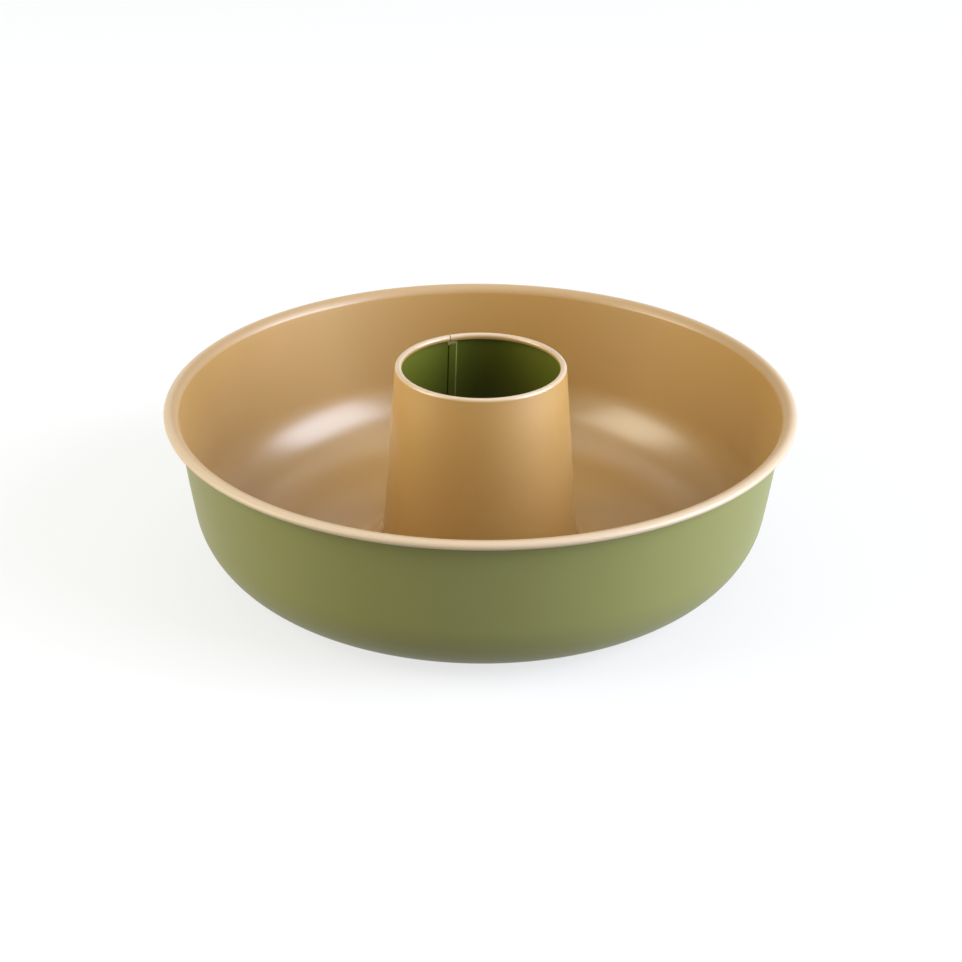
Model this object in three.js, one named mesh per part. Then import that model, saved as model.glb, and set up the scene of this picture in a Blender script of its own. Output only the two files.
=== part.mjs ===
// Savarin mould: a deep drawn ring pan with a rolled rim, and a rolled sheet tube folded into its centre.
// Millimetres, Z up. The origin is on the axis, at the level that the pan stands on.

import * as THREE from "three";

// Pan
const RIM_RADIUS = 130; // outer edge of the rolled rim
const PAN_HEIGHT = 70.5; // top of the rolled rim
const PAN_SHEET = 0.5; // sheet thickness
const RIM_BAND = 5.95; // from the middle of the wall out to the edge of the rim
const SHOULDER_DROP = 3.5; // height of the bend from the wall into the rim
const ROLL_WIDTH = 4.9; // the rolled edge is a flattened oval
const ROLL_HEIGHT = 3.36;
const ROLL_TUCK = 45; // degrees that the sheet's edge turns up again under the roll
const WALL_LEAN_TOP = 5.7; // degrees that the slightly curved wall flares from upright
const WALL_LEAN_FOOT = 8.8;
const CORNER_RADIUS = 32.8; // outside radius between wall and floor

// Raised ring and collar round the pan's centre hole
const CENTRE_RISE = 3.2; // lifts the folded foot of the tube clear of the table
const RISE_WIDTH = 2.5; // flat part of the raised ring
const CREST_BEND = 3; // bend radii at the top and at the toe of the step
const TOE_BEND = 15;
const COLLAR_DEPTH = 1.7; // how far the hole's edge is turned down
const COLLAR_BEND = 0.7;

// Tube
const TUBE_HEIGHT = 84.5; // top of the bead
const TUBE_TOP_RADIUS = 35.4; // outside, at the bead
const TUBE_FOOT_RADIUS = 41.8; // outside, at the table
const TUBE_SHEET = 0.3;
const BEAD_DIAMETER = 2.4; // top edge curled inwards
const BEAD_TURN = 300; // degrees of the curl
const FOOT_GAP = 0.2; // clearance of the collar inside the folded foot

// Lock seam that closes the tube
const SEAM_ANGLE = 111; // degrees from +X
const SEAM_WIDTH = 2.6; // from fold to fold
const SEAM_JOGGLE = 1.7; // length in which one side steps in to cover the folds
const SEAM_TOE = 0.45; // hollow bend at the foot of the joggle, before its rounded crest
const SEAM_SLOPE = 1.2; // height in which the step runs out at the seam's two ends
const SEAM_NOTCH = 0.5; // the hooks stop this far short of the step
const LAYER_GAP = 0.06; // between the folded layers
const BUTT_GAP = 0.3; // break in the bead and in the foot

const PAN_FACETS = 64;
const TUBE_FACETS = 60;

const radians = THREE.MathUtils.degToRad;
const degrees = THREE.MathUtils.radToDeg;

/** Points of an oval arc about (r, z). Angles are in degrees, 0 is outwards and 90 is up. */
function arc(r, z, a, b, from, to, steps) {
  const points = [];
  for (let i = 0; i <= steps; i++) {
    const t = radians(from + ((to - from) * i) / steps);
    points.push(new THREE.Vector2(r + a * Math.cos(t), z + b * Math.sin(t)));
  }
  return points;
}

/** Unit normals on the right of a path, lengthened at each corner so that the sheet keeps its thickness. */
function rightNormals(path) {
  const sides = [];
  for (let i = 1; i < path.length; i++) {
    const along = path[i].clone().sub(path[i - 1]).normalize();
    sides.push(new THREE.Vector2(along.y, -along.x));
  }
  return path.map((_, i) => {
    const before = sides[Math.max(i - 1, 0)];
    const after = sides[Math.min(i, sides.length - 1)];
    const middle = before.clone().add(after).normalize();
    return middle.divideScalar(middle.dot(after));
  });
}

/** Closed section of a sheet of even thickness along a path. */
function sheetSection(path, thickness) {
  const normals = rightNormals(path);
  const side = (offset) => path.map((point, i) => point.clone().addScaledVector(normals[i], offset));
  const section = [...side(thickness / 2), ...side(-thickness / 2).reverse()];
  section.push(section[0].clone());
  return section;
}

// Tube sizes that the pan's collar fits
const beadHeight = TUBE_HEIGHT - BEAD_DIAMETER / 2;
const tubeTaper = (TUBE_FOOT_RADIUS - TUBE_TOP_RADIUS) / beadHeight;
const tubeRadius = (z) => TUBE_FOOT_RADIUS - TUBE_SHEET / 2 - tubeTaper * z;
const foldRadius = (PAN_SHEET + TUBE_SHEET) / 2 + FOOT_GAP;
const foldHeight = CENTRE_RISE - COLLAR_DEPTH;
const collarRadius = tubeRadius(foldHeight) + foldRadius;

/** Middle line of the pan's sheet, from the collar out over the floor and up to the rolled edge. */
function panPath() {
  const half = PAN_SHEET / 2;
  const raised = CENTRE_RISE + half;
  const collar = [
    new THREE.Vector2(collarRadius, foldHeight),
    ...arc(collarRadius + COLLAR_BEND, raised - COLLAR_BEND, COLLAR_BEND, COLLAR_BEND, 180, 90, 3),
  ];

  const slope = degrees(Math.acos(1 - CENTRE_RISE / (CREST_BEND + TOE_BEND)));
  const crest = collarRadius + COLLAR_BEND + RISE_WIDTH;
  const toe = crest + (CREST_BEND + TOE_BEND) * Math.sin(radians(slope));
  const step = [
    ...arc(crest, raised - CREST_BEND, CREST_BEND, CREST_BEND, 90, 90 - slope, 3),
    ...arc(toe, half + TOE_BEND, TOE_BEND, TOE_BEND, 270 - slope, 270, 4).slice(1),
  ];

  const rollRadius = RIM_RADIUS - ROLL_WIDTH / 2;
  const rollHeight = PAN_HEIGHT - ROLL_HEIGHT / 2;
  const a = (ROLL_WIDTH - PAN_SHEET) / 2;
  const b = (ROLL_HEIGHT - PAN_SHEET) / 2;
  const shoulder = RIM_BAND - ROLL_WIDTH / 2;
  const shoulderStart = degrees(Math.atan((Math.tan(radians(WALL_LEAN_TOP)) * SHOULDER_DROP) / shoulder));
  const shoulderFoot = PAN_HEIGHT - half - SHOULDER_DROP;
  const roll = [
    ...arc(rollRadius, shoulderFoot, shoulder, SHOULDER_DROP, 180 - shoulderStart, 90, 4),
    ...arc(rollRadius, rollHeight, a, b, 90, -90 - ROLL_TUCK, 8).slice(1),
  ];

  const bend = CORNER_RADIUS - half;
  const bendHeight = half + bend;
  const top = radians(WALL_LEAN_TOP);
  const foot = radians(WALL_LEAN_FOOT);
  const wallHeight = roll[0].y - (bendHeight - bend * Math.sin(foot));
  const curve = wallHeight / (Math.sin(foot) - Math.sin(top));
  const curveRadius = roll[0].x - curve * Math.cos(top);
  const curveHeight = roll[0].y + curve * Math.sin(top);
  const wall = arc(curveRadius, curveHeight, curve, curve, -WALL_LEAN_FOOT, -WALL_LEAN_TOP, 3).slice(1, -1);
  const bendRadius = curveRadius + (curve - bend) * Math.cos(foot);
  const corner = arc(bendRadius, bendHeight, bend, bend, -90, -WALL_LEAN_FOOT, 8);

  return [...collar, ...step, ...corner, ...wall, ...roll];
}

function panGeometry() {
  const geometry = new THREE.LatheGeometry(sheetSection(panPath(), PAN_SHEET), PAN_FACETS);
  return geometry.rotateX(Math.PI / 2);
}

/**
 * Levels of the tube's sheet, from the folded foot up the wall to the curled bead.
 * Levels marked step follow the joggle of the seam, and levels marked hook carry its folds.
 */
function tubeLevels() {
  const foot = [
    new THREE.Vector2(collarRadius + foldRadius, CENTRE_RISE + PAN_SHEET / 2 - COLLAR_BEND),
    ...arc(collarRadius, foldHeight, foldRadius, foldRadius, 0, -180, 4),
  ];
  const curl = (BEAD_DIAMETER - TUBE_SHEET) / 2;
  const bead = arc(tubeRadius(beadHeight) - curl, beadHeight, curl, curl, 0, BEAD_TURN, 7);
  const low = CENTRE_RISE + PAN_SHEET + SEAM_NOTCH;
  const high = beadHeight - BEAD_DIAMETER / 2;
  const heights = [low, low + SEAM_SLOPE, low + SEAM_SLOPE + SEAM_NOTCH];
  heights.push(high - SEAM_SLOPE - SEAM_NOTCH, high - SEAM_SLOPE, high);
  const wall = heights.map((z) => new THREE.Vector2(tubeRadius(z), z));

  const path = [...foot, ...wall, ...bead];
  const normals = rightNormals(path);
  const first = foot.length;
  return path.map((point, i) => ({
    r: point.x,
    z: point.y,
    normal: normals[i],
    wallRadius: tubeRadius(THREE.MathUtils.clamp(point.y, foldHeight, beadHeight)),
    step: i > first && i < first + wall.length - 1,
    hook: i === first + 2 || i === first + 3,
  }));
}

/** Share of the joggle's height at a share of its length: a hollow toe and then a rounded crest. */
function joggleRise(share) {
  const toe = SEAM_TOE / SEAM_JOGGLE;
  return share < toe ? share ** 2 / toe : 1 - (1 - share) ** 2 / (1 - toe);
}

/**
 * Stations of the tube's strip in plan, from the hook at one end, round the tube, to the hook at the other.
 * along is measured round the tube from the seam's middle and depth inwards from the wall.
 * turn is 1 once the strip has gone round, and whole is false where only the seam's folds go on.
 * reach carries the strip's two ends on to the seam's free edge, above and below the seam.
 */
function tubeStations() {
  const pitch = TUBE_SHEET + LAYER_GAP;
  const fold = SEAM_WIDTH / 2 - TUBE_SHEET / 2 - pitch;
  const start = fold + BUTT_GAP;
  const end = -SEAM_WIDTH / 2 - SEAM_JOGGLE;
  const stations = [];
  const add = (along, depth, turn, whole) => stations.push({ along, depth, turn, whole, reach: 0 });

  add(fold, 2 * pitch, 0, false);
  for (const point of arc(-fold, pitch, pitch, pitch, 90, 270, 4)) {
    add(point.x, point.y, 0, false);
  }
  for (let i = 0; i <= TUBE_FACETS; i++) {
    const share = i / TUBE_FACETS;
    add(start + (end - start) * share, 0, share, true);
  }
  for (const share of [0.25, 0.5, 0.75, 1]) {
    add(end + SEAM_JOGGLE * share, 3 * pitch * joggleRise(share), 1, true);
  }
  add(fold, 3 * pitch, 1, true);
  for (const point of arc(fold, 2 * pitch, pitch, pitch, 90, -90, 4).slice(1)) {
    add(point.x, point.y, 1, false);
  }
  add(-fold, pitch, 1, false);

  const reach = SEAM_WIDTH / 2 - fold;
  stations.find((s) => s.whole).reach = reach;
  stations.findLast((s) => s.whole).reach = reach;
  return stations;
}

/** Direction, in plan, that the strip's outer face looks: outwards, turned with the folds of the seam. */
function planNormals(stations) {
  const round = 2 * Math.PI * TUBE_TOP_RADIUS;
  const path = stations.map((s) => new THREE.Vector2(s.along + s.turn * round, s.depth));
  return rightNormals(path);
}

function tubeGeometry() {
  const levels = tubeLevels();
  const stations = tubeStations();
  const plan = planNormals(stations);
  const positions = [];
  const index = [];

  const place = (station, level, side) => {
    const s = stations[station];
    const l = levels[level];
    const facing = l.step ? plan[station] : new THREE.Vector2(0, -1);
    const along = l.step ? s.along : s.along + s.reach;
    const angle = radians(SEAM_ANGLE) + s.turn * 2 * Math.PI + along / l.wallRadius;
    const offset = (side * TUBE_SHEET) / 2;
    const out = l.r - (l.step ? s.depth : 0) - facing.y * l.normal.x * offset;
    const across = facing.x * l.normal.x * offset;
    const x = out * Math.cos(angle) - across * Math.sin(angle);
    const y = out * Math.sin(angle) + across * Math.cos(angle);
    positions.push(x, y, l.z + l.normal.y * offset);
  };
  for (let j = 0; j < stations.length; j++) {
    for (let k = 0; k < levels.length; k++) {
      place(j, k, 1);
      place(j, k, -1);
    }
  }

  const outer = (j, k) => 2 * (j * levels.length + k);
  const inner = (j, k) => outer(j, k) + 1;
  const quad = (a, b, c, d) => index.push(a, b, c, a, c, d);
  const hooks = levels.map((level, k) => k).filter((k) => levels[k].hook);
  const isHook = (k) => k >= hooks[0] && k < hooks[1];

  for (let j = 0; j + 1 < stations.length; j++) {
    const whole = stations[j].whole && stations[j + 1].whole;
    const bottom = whole ? 0 : hooks[0];
    const top = whole ? levels.length - 1 : hooks[1];
    quad(outer(j, bottom), inner(j, bottom), inner(j + 1, bottom), outer(j + 1, bottom));
    quad(outer(j, top), outer(j + 1, top), inner(j + 1, top), inner(j, top));
    for (let k = bottom; k < top; k++) {
      quad(outer(j, k), outer(j + 1, k), outer(j + 1, k + 1), outer(j, k + 1));
      quad(inner(j, k), inner(j, k + 1), inner(j + 1, k + 1), inner(j + 1, k));
    }
  }

  const startCap = (j, k) => quad(outer(j, k), outer(j, k + 1), inner(j, k + 1), inner(j, k));
  const endCap = (j, k) => quad(outer(j, k), inner(j, k), inner(j, k + 1), outer(j, k + 1));
  const firstWhole = stations.findIndex((s) => s.whole);
  const lastWhole = stations.findLastIndex((s) => s.whole);
  for (let k = 0; k + 1 < levels.length; k++) {
    startCap(isHook(k) ? 0 : firstWhole, k);
    endCap(isHook(k) ? stations.length - 1 : lastWhole, k);
  }

  const geometry = new THREE.BufferGeometry();
  geometry.setAttribute("position", new THREE.Float32BufferAttribute(positions, 3));
  geometry.setIndex(index);
  geometry.computeVertexNormals();
  return geometry;
}

function piece(name, geometry, color) {
  const material = new THREE.MeshStandardMaterial({ color, metalness: 0.6, roughness: 0.35 });
  material.name = name;
  const mesh = new THREE.Mesh(geometry, material);
  mesh.name = name;
  return mesh;
}

const mould = new THREE.Group();
mould.name = "savarin_mould";
mould.add(piece("pan", panGeometry(), 0x6e6e42));
mould.add(piece("centre_tube", tubeGeometry(), 0xad864f));

export default mould;
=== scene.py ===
"""Savarin mould of coated sheet steel: fine meshes, coats, floor, light and camera.

Metres, Z up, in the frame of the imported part. Sizes of the mould are in millimetres and are turned into
metres where a mesh is made. They are those of the part's source, apart from the tube's sheet, bead and seam
and the flat of the raised ring, which follow the photograph more closely.
"""

import math

import bpy
import numpy as np
from mathutils import Matrix, Vector


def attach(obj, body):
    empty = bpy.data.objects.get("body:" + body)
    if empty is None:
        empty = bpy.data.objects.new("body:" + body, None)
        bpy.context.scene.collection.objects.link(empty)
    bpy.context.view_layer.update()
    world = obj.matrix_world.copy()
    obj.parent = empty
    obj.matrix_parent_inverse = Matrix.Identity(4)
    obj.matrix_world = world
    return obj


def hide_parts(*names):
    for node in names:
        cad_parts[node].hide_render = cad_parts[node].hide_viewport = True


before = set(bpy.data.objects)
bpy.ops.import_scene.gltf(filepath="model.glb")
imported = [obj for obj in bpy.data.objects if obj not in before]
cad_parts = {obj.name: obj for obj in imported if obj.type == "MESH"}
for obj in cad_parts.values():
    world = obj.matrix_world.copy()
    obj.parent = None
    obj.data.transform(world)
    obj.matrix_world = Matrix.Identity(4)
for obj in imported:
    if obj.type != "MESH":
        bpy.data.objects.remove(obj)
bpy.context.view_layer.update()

MM = 0.001

# Pan
RIM_RADIUS = 130
PAN_HEIGHT = 70.5
PAN_SHEET = 0.5
RIM_BAND = 5.95
SHOULDER_DROP = 3.5
ROLL_WIDTH = 4.9
ROLL_HEIGHT = 3.36
ROLL_TUCK = 45
WALL_LEAN_TOP = 5.7
WALL_LEAN_FOOT = 8.8
CORNER_RADIUS = 32.8

# Raised ring and collar round the pan's centre hole
CENTRE_RISE = 3.2
RISE_WIDTH = 1.0
CREST_BEND = 3
TOE_BEND = 15
COLLAR_DEPTH = 1.7
COLLAR_BEND = 0.7

# Tube
TUBE_HEIGHT = 84.5
TUBE_TOP_RADIUS = 35.4
TUBE_FOOT_RADIUS = 41.8
TUBE_SHEET = 0.2
BEAD_DIAMETER = 2.8
BEAD_TURN = 300
FOOT_GAP = 0.2

# Lock seam that closes the tube
SEAM_ANGLE = 110.5
SEAM_WIDTH = 3.2
SEAM_JOGGLE = 0.8
SEAM_TOE = 0.3
SEAM_SLOPE = 1.8
SEAM_NOTCH = 0.5
LAYER_GAP = 0.03
BUTT_GAP = 0.3
SEAM_SWELL = 0.35  # rise of the wall beside the free edge
SWELL_WIDTH = 5.5
SWELL_START = 0.4

# Fineness of the meshes
PAN_SEGMENTS = 256
TUBE_SEGMENTS = 192
COLLAR_STEPS = 8
RISE_STEPS = 4
CREST_STEPS = 8
TOE_STEPS = 16
FLOOR_STEPS = 8
CORNER_STEPS = 48
WALL_STEPS = 16
SHOULDER_STEPS = 16
ROLL_STEPS = 40
FOOT_STEPS = 16
BEAD_STEPS = 40
SEAM_STEPS = 8
SLOPE_STEPS = 8
HOOK_STEPS = 12
JOGGLE_STEPS = 24
SWELL_STEPS = 12
SHARP_ANGLE = 50  # degrees; only the sheets' cut edges are sharper

# Material numbers on the meshes. The fourth is the rim's coat on the pan and the seam's painted highlight on
# the tube.
GOLD, GREEN, EDGE = 0, 1, 2
RIM = SEAM_HIGHLIGHT = 3

# Coats. Scales are in features per metre.
COAT_SHADE = 0.03  # share by which a coat's clouds are lighter or darker
HAZE_SPREAD = 0.02
CLOUD_SCALE = 22.0
SPECK_SCALE = 1400.0
PEEL_SCALE = 700.0
PEEL_STRENGTH = 0.05
PEEL_DEPTH = 0.0002
HIGHLIGHT_GOLD = (0.46, 0.335, 0.21)  # paler gold painted as a highlight on the outside of the rolled rim and on the bead
HIGHLIGHT_INSET = 0.5  # middle of the rim's painted highlight from the rim's edge
HIGHLIGHT_DROP = 0.6  # and below its top, as a share of the roll's height
HIGHLIGHT_REACH = 2.0
RIM_COAT = 5.6  # width of the coat on the rim, which is rougher and painted darker and greyer as shade
MARK_SCALE = 2500.0
STEEL_DARK = (0.16, 0.16, 0.15)
STEEL_LIGHT = (0.32, 0.32, 0.31)

# Camera at the photograph's viewing angle
CAMERA_ELEVATION = 26.48
CAMERA_ROLL = 0.408
CAMERA_DISTANCE = 0.880
CAMERA_TARGET = (0.00036, 0.0, 0.03109)
CAMERA_LENS = 78.09
CAMERA_SENSOR = 36.0
CAMERA_NEAR = 0.01

# Floor and surroundings, where a brightness of 1 shows as white
FLOOR_SIZE = 3.0
FLOOR_GREY = 0.2
FLOOR_GLOW = 0.72
HORIZON_LIGHT = 0.39
CEILING_LIGHT = 0.235
CEILING_EDGE = 0.25  # sine of the elevation at which the horizon's light has faded to the ceiling's
WHITE_EDGE = 0.3  # sines of the elevations between which the white that is seen fades to the ceiling
DIM_EDGE = 0.42
LAMP_DISTANCE = 2.2
LAMP_AIM = (0, 0, 0.04)


def arc(r, z, a, b, start, stop, steps):
    """Points of an oval arc about (r, z). Angles are in degrees, 0 is outwards and 90 is up."""
    t = np.radians(np.linspace(start, stop, steps + 1))
    return np.stack([r + a * np.cos(t), z + b * np.sin(t)], 1)


def line(start, stop, steps):
    """Points between two points, without the two ends."""
    share = np.linspace(0, 1, steps + 1)[1:-1, None]
    return np.asarray(start) * (1 - share) + np.asarray(stop) * share


def right_normals(path):
    """Unit normals on the right of a path, lengthened at corners so that a sheet keeps its thickness."""
    along = np.diff(path, axis=0)
    along /= np.linalg.norm(along, axis=1)[:, None]
    sides = np.stack([along[:, 1], -along[:, 0]], 1)
    before = np.vstack([sides[:1], sides])
    after = np.vstack([sides, sides[-1:]])
    middle = before + after
    middle /= np.linalg.norm(middle, axis=1)[:, None]
    return middle / np.sum(middle * after, axis=1)[:, None]


def smoothstep(share):
    """Share from 0 to 1 with a soft start and end."""
    return share * share * (3 - 2 * share)


# Tube sizes that the pan's collar fits
bead_height = TUBE_HEIGHT - BEAD_DIAMETER / 2
tube_taper = (TUBE_FOOT_RADIUS - TUBE_TOP_RADIUS) / bead_height
fold_radius = (PAN_SHEET + TUBE_SHEET) / 2 + FOOT_GAP
fold_height = CENTRE_RISE - COLLAR_DEPTH
curl_radius = (BEAD_DIAMETER - TUBE_SHEET) / 2

# Folds of the seam, and the way once round the tube
layer_pitch = TUBE_SHEET + LAYER_GAP
hook_end = SEAM_WIDTH / 2 - TUBE_SHEET / 2 - layer_pitch
lap = 2 * math.pi * TUBE_TOP_RADIUS


def tube_radius(z):
    """Radius of the middle of the tube's sheet at a height."""
    return TUBE_FOOT_RADIUS - TUBE_SHEET / 2 - tube_taper * z


collar_radius = tube_radius(fold_height) + fold_radius


def pan_path():
    """Middle line of the pan's sheet, from the collar out over the floor and up to the rolled edge."""
    half = PAN_SHEET / 2
    raised = CENTRE_RISE + half
    collar = arc(
        collar_radius + COLLAR_BEND, raised - COLLAR_BEND, COLLAR_BEND, COLLAR_BEND, 180, 90, COLLAR_STEPS)

    slope = math.degrees(math.acos(1 - CENTRE_RISE / (CREST_BEND + TOE_BEND)))
    crest_radius = collar_radius + COLLAR_BEND + RISE_WIDTH
    toe_radius = crest_radius + (CREST_BEND + TOE_BEND) * math.sin(math.radians(slope))
    crest = arc(crest_radius, raised - CREST_BEND, CREST_BEND, CREST_BEND, 90, 90 - slope, CREST_STEPS)
    toe = arc(toe_radius, half + TOE_BEND, TOE_BEND, TOE_BEND, 270 - slope, 270, TOE_STEPS)[1:]

    roll_radius = RIM_RADIUS - ROLL_WIDTH / 2
    roll_height = PAN_HEIGHT - ROLL_HEIGHT / 2
    a = (ROLL_WIDTH - PAN_SHEET) / 2
    b = (ROLL_HEIGHT - PAN_SHEET) / 2
    shoulder = RIM_BAND - ROLL_WIDTH / 2
    top, foot = math.radians(WALL_LEAN_TOP), math.radians(WALL_LEAN_FOOT)
    shoulder_start = math.degrees(math.atan(math.tan(top) * SHOULDER_DROP / shoulder))
    shoulder_foot = PAN_HEIGHT - half - SHOULDER_DROP
    inside = arc(
        roll_radius, shoulder_foot, shoulder, SHOULDER_DROP, 180 - shoulder_start, 90, SHOULDER_STEPS)
    outside = arc(roll_radius, roll_height, a, b, 90, -90 - ROLL_TUCK, ROLL_STEPS)[1:]

    bend = CORNER_RADIUS - half
    bend_height = half + bend
    wall_height = inside[0, 1] - (bend_height - bend * math.sin(foot))
    curve = wall_height / (math.sin(foot) - math.sin(top))
    curve_radius = inside[0, 0] - curve * math.cos(top)
    curve_height = inside[0, 1] + curve * math.sin(top)
    wall = arc(
        curve_radius, curve_height, curve, curve, -WALL_LEAN_FOOT, -WALL_LEAN_TOP, WALL_STEPS)[1:-1]
    bend_radius = curve_radius + (curve - bend) * math.cos(foot)
    corner = arc(bend_radius, bend_height, bend, bend, -90, -WALL_LEAN_FOOT, CORNER_STEPS)

    return np.vstack([
        [[collar_radius, fold_height]], collar, line(collar[-1], crest[0], RISE_STEPS), crest, toe,
        line(toe[-1], corner[0], FLOOR_STEPS), corner, wall, inside, outside,
    ])


def tube_levels():
    """
    Levels of the tube's sheet, from the folded foot up the wall to the curled bead, as radius and height.
    Each level also has the share of the seam's depth that it follows, and whether the hooks reach it.
    """
    foot_top = CENTRE_RISE + PAN_SHEET / 2 - COLLAR_BEND
    foot = np.vstack([
        [[collar_radius + fold_radius, foot_top]],
        arc(collar_radius, fold_height, fold_radius, fold_radius, 0, -180, FOOT_STEPS),
    ])
    bead = arc(
        tube_radius(bead_height) - curl_radius, bead_height, curl_radius, curl_radius, 0, BEAD_TURN, BEAD_STEPS)
    low = CENTRE_RISE + PAN_SHEET + SEAM_NOTCH
    high = bead_height - BEAD_DIAMETER / 2
    rise = np.linspace(0, 1, SLOPE_STEPS + 1)
    middle = np.linspace(
        low + SEAM_SLOPE + SEAM_NOTCH, high - SEAM_SLOPE - SEAM_NOTCH, SEAM_STEPS + 1)
    heights = np.concatenate([low + SEAM_SLOPE * rise, middle, high - SEAM_SLOPE * rise[::-1]])
    shares = np.concatenate([smoothstep(rise), np.ones(len(middle)), smoothstep(rise[::-1])])
    wall = np.stack([tube_radius(heights), heights], 1)
    hooks = np.isin(heights, middle)

    path = np.vstack([foot, wall, bead])
    share = np.concatenate([np.zeros(len(foot)), shares, np.zeros(len(bead))])
    hook = np.concatenate([np.zeros(len(foot)), hooks, np.zeros(len(bead))])
    return path, share, hook.astype(bool)


def joggle_rise(share):
    """Height of the seam's joggle at a share of its length: a hollow toe and then a rounded crest."""
    toe = SEAM_TOE / SEAM_JOGGLE
    return np.where(share < toe, share ** 2 / toe, 1 - (1 - share) ** 2 / (1 - toe))


def tube_stations():
    """
    Stations of the tube's strip in plan, from the hook at one end, round the tube, to the hook at the other.
    A station is its way round from the seam's middle, its depth inwards from the wall, the turn that
    the strip has made, and 1 where the whole height goes on, not only the seam's folds.
    """
    start = hook_end + BUTT_GAP
    end = -SEAM_WIDTH / 2 - SEAM_JOGGLE

    def rows(points, turn, whole):
        points = np.asarray(points)
        return np.column_stack([points, np.broadcast_to(turn, len(points)), np.full(len(points), whole)])

    beside = SWELL_WIDTH * np.linspace(0, 1, SWELL_STEPS + 1) ** 2
    share = np.concatenate([beside / lap, np.linspace(SWELL_WIDTH / lap, 1, TUBE_SEGMENTS + 1)[1:]])
    apart = share * lap
    growth = smoothstep(np.clip(apart / SWELL_START, 0, 1))
    decline = np.clip(1 - apart / SWELL_WIDTH, 0, 1) ** 2
    round_tube = np.stack([start + (end - start) * share, SEAM_SWELL * growth * decline], 1)
    rise = np.linspace(0, 1, JOGGLE_STEPS + 1)[1:]
    joggle = np.stack([end + SEAM_JOGGLE * rise, 3 * layer_pitch * joggle_rise(rise)], 1)
    return np.vstack([
        rows([[hook_end, 2 * layer_pitch]], 0, 0),
        rows(arc(-hook_end, layer_pitch, layer_pitch, layer_pitch, 90, 270, HOOK_STEPS), 0, 0),
        rows(round_tube, share, 1),
        rows(joggle, 1, 1),
        rows([[hook_end, 3 * layer_pitch]], 1, 1),
        rows(arc(hook_end, 2 * layer_pitch, layer_pitch, layer_pitch, 90, -90, HOOK_STEPS)[1:], 1, 0),
        rows([[-hook_end, layer_pitch]], 1, 0),
    ])


def solid(name, points, faces, coats, materials):
    """A smooth-shaded object of one closed mesh. points are in millimetres, coats are material numbers."""
    used, faces = np.unique(faces, return_inverse=True)
    mesh = bpy.data.meshes.new(name)
    mesh.from_pydata((points[used] * MM).tolist(), [], faces.reshape(-1, 4).tolist())
    for material in materials:
        mesh.materials.append(material)
    mesh.polygons.foreach_set("material_index", np.asarray(coats, np.int32))
    mesh.shade_smooth()
    mesh.set_sharp_from_angle(angle=math.radians(SHARP_ANGLE))
    mesh.validate()
    made = bpy.data.objects.new(name, mesh)
    bpy.context.scene.collection.objects.link(made)
    return made


def pan(materials):
    """Sheet turned about the axis. Its right side is the underside, and its left side the batter side."""
    path = pan_path()
    normals = right_normals(path) * PAN_SHEET / 2
    section = np.vstack([path + normals, (path - normals)[::-1]])
    count = len(section)
    turn = np.linspace(0, 2 * np.pi, PAN_SEGMENTS, endpoint=False)
    points = np.stack([
        np.outer(np.cos(turn), section[:, 0]),
        np.outer(np.sin(turn), section[:, 0]),
        np.tile(section[:, 1], (PAN_SEGMENTS, 1)),
    ], 2).reshape(-1, 3)

    j, k = np.meshgrid(np.arange(PAN_SEGMENTS), np.arange(count), indexing="ij")
    next_j, next_k = (j + 1) % PAN_SEGMENTS, (k + 1) % count
    faces = np.stack([j * count + k, next_j * count + k, next_j * count + next_k, j * count + next_k], 2)
    side = np.full(count, EDGE)
    side[:len(path) - 1] = GREEN
    side[len(path):-1] = np.where(path[:0:-1, 0] > RIM_RADIUS - RIM_COAT, RIM, GOLD)
    return solid("pan_sheet", points, faces.reshape(-1), np.tile(side, PAN_SEGMENTS), materials)


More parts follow.
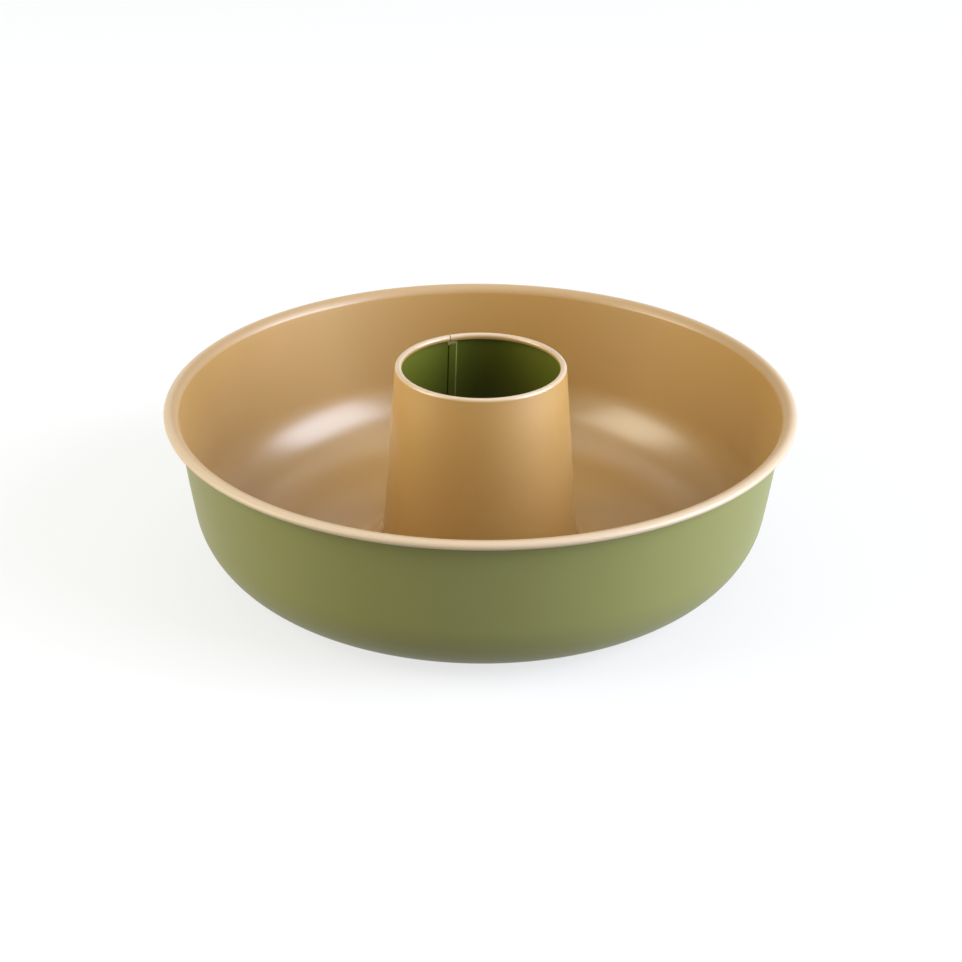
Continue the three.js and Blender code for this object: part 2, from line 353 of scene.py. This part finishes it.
def tube(materials):
    """
    Strip rolled into a tapered tube. Its outer side is the batter side.
    Above and below the seam the strip's two ends reach on to the seam's free edge and meet there.
    """
    path, share, hook = tube_levels()
    along, depth, turn, whole = tube_stations().T
    whole = whole.astype(bool)
    first, last = np.flatnonzero(whole)[[0, -1]]
    normals = right_normals(path)
    wall_radius = tube_radius(np.clip(path[:, 1], fold_height, bead_height))
    around = along + turn * lap
    reach = (SEAM_WIDTH / 2 - hook_end) * np.clip(1 - (around - around[first]) / SWELL_WIDTH, 0, 1)
    reach[last] = reach[first]

    sides = {1: [], -1: []}
    for level, (r, z) in enumerate(path):
        if share[level] > 0:
            facing = right_normals(np.stack([around, depth * share[level]], 1))
        else:
            facing = np.tile([0.0, -1.0], (len(along), 1))
        way = along + reach * (1 - share[level])
        angle = math.radians(SEAM_ANGLE) + turn * 2 * np.pi + way / wall_radius[level]
        for side in sides:
            offset = side * TUBE_SHEET / 2
            out = r - depth * share[level] - facing[:, 1] * normals[level, 0] * offset
            across = facing[:, 0] * normals[level, 0] * offset
            x = out * np.cos(angle) - across * np.sin(angle)
            y = out * np.sin(angle) + across * np.cos(angle)
            sides[side].append(np.stack([x, y, np.full(len(x), z + normals[level, 1] * offset)], 1))
    grids = [np.stack(sides[side], 1) for side in (1, -1)]
    points = np.concatenate([grid.reshape(-1, 3) for grid in grids])

    levels = len(path)
    first_hook, last_hook = np.flatnonzero(hook)[[0, -1]]
    ridge = whole & (turn == 1) & (depth > 0)
    top_slope = (share > 0) & (share < 1) & (path[:, 1] > bead_height / 2)
    faces, coats = [], []

    def outer(j, k):
        return j * levels + k

    def inner(j, k):
        return len(along) * levels + j * levels + k

    def quad(coat, *corners):
        faces.append(corners)
        coats.append(coat)

    for j in range(len(along) - 1):
        both = whole[j] and whole[j + 1]
        bottom, top = (0, levels - 1) if both else (first_hook, last_hook)
        quad(EDGE, outer(j, bottom), inner(j, bottom), inner(j + 1, bottom), outer(j + 1, bottom))
        quad(EDGE, outer(j, top), outer(j + 1, top), inner(j + 1, top), inner(j, top))
        for k in range(bottom, top):
            quad(GOLD, outer(j, k), outer(j + 1, k), outer(j + 1, k + 1), outer(j, k + 1))
            # The joggle and the slope at the seam's top get a paler green, a painted highlight.
            highlit = ridge[j] and ridge[j + 1] and (top_slope[k] or (j + 1 < last and share[k] > 0))
            coat_inside = SEAM_HIGHLIGHT if highlit else GREEN
            quad(coat_inside, inner(j, k), inner(j, k + 1), inner(j + 1, k + 1), inner(j + 1, k))
    for k in range(levels - 1):
        hooked = first_hook <= k < last_hook
        j = 0 if hooked else first
        quad(EDGE, outer(j, k), outer(j, k + 1), inner(j, k + 1), inner(j, k))
        j = len(along) - 1 if hooked else last
        quad(EDGE, outer(j, k), inner(j, k), inner(j, k + 1), outer(j, k + 1))
    return solid("tube_sheet", points, np.array(faces).reshape(-1), coats, materials)


class Nodes:
    """Short way to add shader nodes and links to a material or world."""

    def __init__(self, owner):
        owner.use_nodes = True
        self.tree = owner.node_tree
        self.tree.nodes.clear()

    def add(self, kind, inputs=(), **settings):
        node = self.tree.nodes.new(kind)
        for key, value in settings.items():
            setattr(node, key, value)
        for key, value in dict(inputs).items():
            if isinstance(value, bpy.types.NodeSocket):
                self.tree.links.new(value, node.inputs[key])
            else:
                node.inputs[key].default_value = value
        return node


def near_ring(n, place, radius, height, reach):
    """1 within a distance from a ring about the axis, fading to 0 at twice that distance. In millimetres."""
    flat = n.add("ShaderNodeVectorMath", {0: place, 1: (1, 1, 0)}, operation="MULTIPLY").outputs[0]
    out = n.add("ShaderNodeVectorMath", {0: flat}, operation="LENGTH").outputs["Value"]
    across = n.add("ShaderNodeMath", {0: out, 1: radius * MM}, operation="SUBTRACT").outputs[0]
    up = n.add("ShaderNodeSeparateXYZ", {0: place}).outputs["Z"]
    above = n.add("ShaderNodeMath", {0: up, 1: height * MM}, operation="SUBTRACT").outputs[0]
    apart = n.add("ShaderNodeCombineXYZ", {0: across, 1: above}).outputs[0]
    distance = n.add("ShaderNodeVectorMath", {0: apart}, operation="LENGTH").outputs["Value"]
    return n.add("ShaderNodeMapRange", {
        "Value": distance, "From Min": 2 * reach * MM, "From Max": reach * MM,
    }, interpolation_type="SMOOTHSTEP").outputs[0]


def coat(name, colour, haze, haze_ior, skin=0.0, gloss=0.3, gloss_ior=1.5, highlight_ring=None):
    """
    Satin stoved coat with a broad haze, and with a smoother skin over it where skin is 1.
    It has faint clouds and specks in its colour, an uneven haze and a fine orange peel.
    A ring, given as radius, height and reach in millimetres, is painted paler than the rest as a highlight.
    """
    light = [channel * (1 + COAT_SHADE) for channel in colour]
    dark = [channel * (1 - COAT_SHADE) for channel in colour]
    material = bpy.data.materials.new(name)
    n = Nodes(material)
    place = n.add("ShaderNodeTexCoord").outputs["Object"]
    clouds = n.add("ShaderNodeTexNoise", {"Vector": place, "Scale": CLOUD_SCALE, "Detail": 3.0})
    specks = n.add("ShaderNodeTexNoise", {"Vector": place, "Scale": SPECK_SCALE, "Detail": 2.0})
    mixed = n.add("ShaderNodeMath", {0: clouds.outputs["Fac"], 1: specks.outputs["Fac"]}, operation="ADD")
    ramp = n.add("ShaderNodeMapRange", {"Value": mixed.outputs[0], "From Min": 0.7, "From Max": 1.3})
    tone = n.add("ShaderNodeMix", {"Factor": ramp.outputs[0]}, data_type="RGBA")
    tone.inputs["A"].default_value = (*dark, 1)
    tone.inputs["B"].default_value = (*light, 1)
    # Painted highlight: paler gold fades in near the ring.
    if highlight_ring:
        nearness = near_ring(n, place, *highlight_ring)
        tone = n.add("ShaderNodeMix", {"Factor": nearness, "A": tone.outputs["Result"]}, data_type="RGBA")
        tone.inputs["B"].default_value = (*HIGHLIGHT_GOLD, 1)
    rough = n.add("ShaderNodeMapRange", {
        "Value": clouds.outputs["Fac"], "From Min": 0.3, "From Max": 0.7,
        "To Min": haze - HAZE_SPREAD, "To Max": haze + HAZE_SPREAD,
    })
    peel = n.add("ShaderNodeTexNoise", {"Vector": place, "Scale": PEEL_SCALE, "Detail": 1.0})
    bump = n.add("ShaderNodeBump", {
        "Height": peel.outputs["Fac"], "Strength": PEEL_STRENGTH, "Distance": PEEL_DEPTH,
    })
    shader = n.add("ShaderNodeBsdfPrincipled", {
        "Base Color": tone.outputs["Result"], "Roughness": rough.outputs[0], "Normal": bump.outputs[0],
        "Coat Normal": bump.outputs[0], "IOR": haze_ior,
        "Coat Weight": skin, "Coat Roughness": gloss, "Coat IOR": gloss_ior,
    })
    n.add("ShaderNodeOutputMaterial", {"Surface": shader.outputs[0]})
    return material


def cut_steel():
    """Bare edge of the sheet, with fine marks of the shear."""
    material = bpy.data.materials.new("cut_steel")
    n = Nodes(material)
    place = n.add("ShaderNodeTexCoord").outputs["Object"]
    marks = n.add("ShaderNodeTexNoise", {"Vector": place, "Scale": MARK_SCALE, "Detail": 2.0})
    tone = n.add("ShaderNodeMix", {"Factor": marks.outputs["Fac"]}, data_type="RGBA")
    tone.inputs["A"].default_value = (*STEEL_DARK, 1)
    tone.inputs["B"].default_value = (*STEEL_LIGHT, 1)
    rough = n.add("ShaderNodeMapRange", {"Value": marks.outputs["Fac"], "To Min": 0.4, "To Max": 0.6})
    shader = n.add("ShaderNodeBsdfPrincipled", {
        "Base Color": tone.outputs["Result"], "Roughness": rough.outputs[0], "Metallic": 1.0,
    })
    n.add("ShaderNodeOutputMaterial", {"Surface": shader.outputs[0]})
    return material


def seen_rays(n):
    """1 for rays that show a surface to the eye, in a mirror or through glass."""
    path = n.add("ShaderNodeLightPath")
    most = n.add("ShaderNodeMath", {
        0: path.outputs["Is Camera Ray"], 1: path.outputs["Is Glossy Ray"],
    }, operation="MAXIMUM")
    return n.add("ShaderNodeMath", {
        0: most.outputs[0], 1: path.outputs["Is Transmission Ray"],
    }, operation="MAXIMUM").outputs[0]


def floor():
    """White table that brightens to the white background but keeps the mould's shadow."""
    material = bpy.data.materials.new("white_table")
    n = Nodes(material)
    diffuse = n.add("ShaderNodeBsdfDiffuse", {"Color": (FLOOR_GREY, FLOOR_GREY, FLOOR_GREY, 1)})
    glow = n.add("ShaderNodeMath", {0: seen_rays(n), 1: FLOOR_GLOW}, operation="MULTIPLY")
    emission = n.add("ShaderNodeEmission", {"Strength": glow.outputs[0]})
    both = n.add("ShaderNodeAddShader", {0: diffuse.outputs[0], 1: emission.outputs[0]})
    n.add("ShaderNodeOutputMaterial", {"Surface": both.outputs[0]})

    mesh = bpy.data.meshes.new("table_top")
    s = FLOOR_SIZE / 2
    mesh.from_pydata([(-s, -s, 0), (s, -s, 0), (s, s, 0), (-s, s, 0)], [], [(0, 1, 2, 3)])
    mesh.materials.append(material)
    made = bpy.data.objects.new("table_top", mesh)
    bpy.context.scene.collection.objects.link(made)


def surroundings():
    """Room that is seen as white near the horizon and dims towards its ceiling. It sheds less light."""
    world = bpy.data.worlds.new("white_room")
    bpy.context.scene.world = world
    n = Nodes(world)
    place = n.add("ShaderNodeTexCoord").outputs["Generated"]
    height = n.add("ShaderNodeSeparateXYZ", {0: place}).outputs["Z"]
    shed = n.add("ShaderNodeMapRange", {
        "Value": height, "From Max": CEILING_EDGE, "To Min": HORIZON_LIGHT, "To Max": CEILING_LIGHT,
    }, interpolation_type="SMOOTHSTEP")
    shown = n.add("ShaderNodeMapRange", {
        "Value": height, "From Min": WHITE_EDGE, "From Max": DIM_EDGE, "To Min": 1.0, "To Max": CEILING_LIGHT,
    }, interpolation_type="SMOOTHSTEP")
    strength = n.add("ShaderNodeMix", {"Factor": seen_rays(n), "A": shed.outputs[0], "B": shown.outputs[0]})
    background = n.add("ShaderNodeBackground", {"Color": (1, 1, 1, 1), "Strength": strength.outputs[0]})
    n.add("ShaderNodeOutputWorld", {"Surface": background.outputs[0]})


def softbox(name, azimuth, elevation, width, height, brightness, tint=(1, 1, 1)):
    """Rectangular lamp turned to the mould. Azimuth 0 is the viewer's side and 90 is the right."""
    lamp = bpy.data.lights.new(name, "AREA")
    lamp.shape = "RECTANGLE"
    lamp.size = width
    lamp.size_y = height
    lamp.color = tint
    lamp.energy = brightness * math.pi * width * height
    a, e = math.radians(azimuth), math.radians(elevation)
    away = Vector((math.sin(a) * math.cos(e), -math.cos(a) * math.cos(e), math.sin(e)))
    made = bpy.data.objects.new(name, lamp)
    made.location = Vector(LAMP_AIM) + away * LAMP_DISTANCE
    made.rotation_euler = away.to_track_quat("Z", "Y").to_euler()
    made.visible_camera = False
    bpy.context.scene.collection.objects.link(made)


def camera():
    """Camera on the viewer's side, turned to the mould."""
    e, roll = math.radians(CAMERA_ELEVATION), math.radians(CAMERA_ROLL)
    ahead = Vector((0, math.cos(e), -math.sin(e)))
    level = Vector((1, 0, 0))
    upright = Vector((0, math.sin(e), math.cos(e)))
    right = level * math.cos(roll) + upright * math.sin(roll)
    up = upright * math.cos(roll) - level * math.sin(roll)
    data = bpy.data.cameras.new("camera")
    data.lens = CAMERA_LENS
    data.sensor_width = CAMERA_SENSOR
    data.clip_start = CAMERA_NEAR
    made = bpy.data.objects.new("camera", data)
    turned = Matrix((right, up, -ahead)).transposed().to_4x4()
    made.matrix_world = Matrix.Translation(Vector(CAMERA_TARGET) - ahead * CAMERA_DISTANCE) @ turned
    bpy.context.scene.collection.objects.link(made)
    bpy.context.scene.camera = made


bpy.context.scene.view_settings.view_transform = "Standard"
camera()
surroundings()
floor()
softbox("softbox_right", azimuth=75.9, elevation=18, width=1.79, height=2.33, brightness=9.2,
        tint=(1, 1.11, 1.31))
softbox("softbox_left", azimuth=-76.4, elevation=19.7, width=1.4, height=2.53, brightness=6.85,
        tint=(1, 0.985, 0.82))
softbox("softbox_top", azimuth=180, elevation=76, width=2.6, height=2.6, brightness=1.2)

# Rings painted in paler gold as highlights: the rim's crest and the tube's bead.
rim_highlight_ring = (RIM_RADIUS - HIGHLIGHT_INSET, PAN_HEIGHT - ROLL_HEIGHT * HIGHLIGHT_DROP, HIGHLIGHT_REACH)
bead_highlight_ring = (tube_radius(bead_height) - curl_radius, TUBE_HEIGHT, BEAD_DIAMETER / 3)
pan_gold = coat("satin_gold", (0.372, 0.207, 0.0491), haze=0.65, haze_ior=1.6,
                skin=1.0, gloss=0.29, gloss_ior=1.56, highlight_ring=rim_highlight_ring)
# The tube's gold is a slightly lighter copy of the pan's, painted light.
lit_tube_gold = coat("satin_gold_tube_lit", (0.385, 0.214, 0.0508), haze=0.65, haze_ior=1.6,
                 skin=1.0, gloss=0.3, gloss_ior=1.6, highlight_ring=bead_highlight_ring)
# The rim's coat is rougher, and painted darker and greyer than the pan's gold as shade.
shaded_rim_gold = coat("satin_gold_rim_shaded", (0.345, 0.207, 0.08), haze=0.65, haze_ior=1.55,
                skin=1.0, gloss=0.45, gloss_ior=1.45, highlight_ring=rim_highlight_ring)
pan_green = coat("satin_green", (0.203, 0.199, 0.064), haze=0.4, haze_ior=1.3)
# Inside of the tube: a darker green than the pan's, painted shade in the bore.
shaded_bore_green = coat("satin_green_bore_shaded", (0.097, 0.105, 0.005), haze=0.6, haze_ior=1.35)
# Paler green painted as a highlight on the seam's joggle and top slope.
seam_highlight_green = coat("seam_highlight_green", (0.24, 0.25, 0.075), haze=0.5, haze_ior=1.4)
steel = cut_steel()

pan_sheet = pan([pan_gold, pan_green, steel, shaded_rim_gold])
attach(pan_sheet, "root")
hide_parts("pan")
tube_sheet = tube([lit_tube_gold, shaded_bore_green, steel, seam_highlight_green])
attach(tube_sheet, "root")
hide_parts("centre_tube")
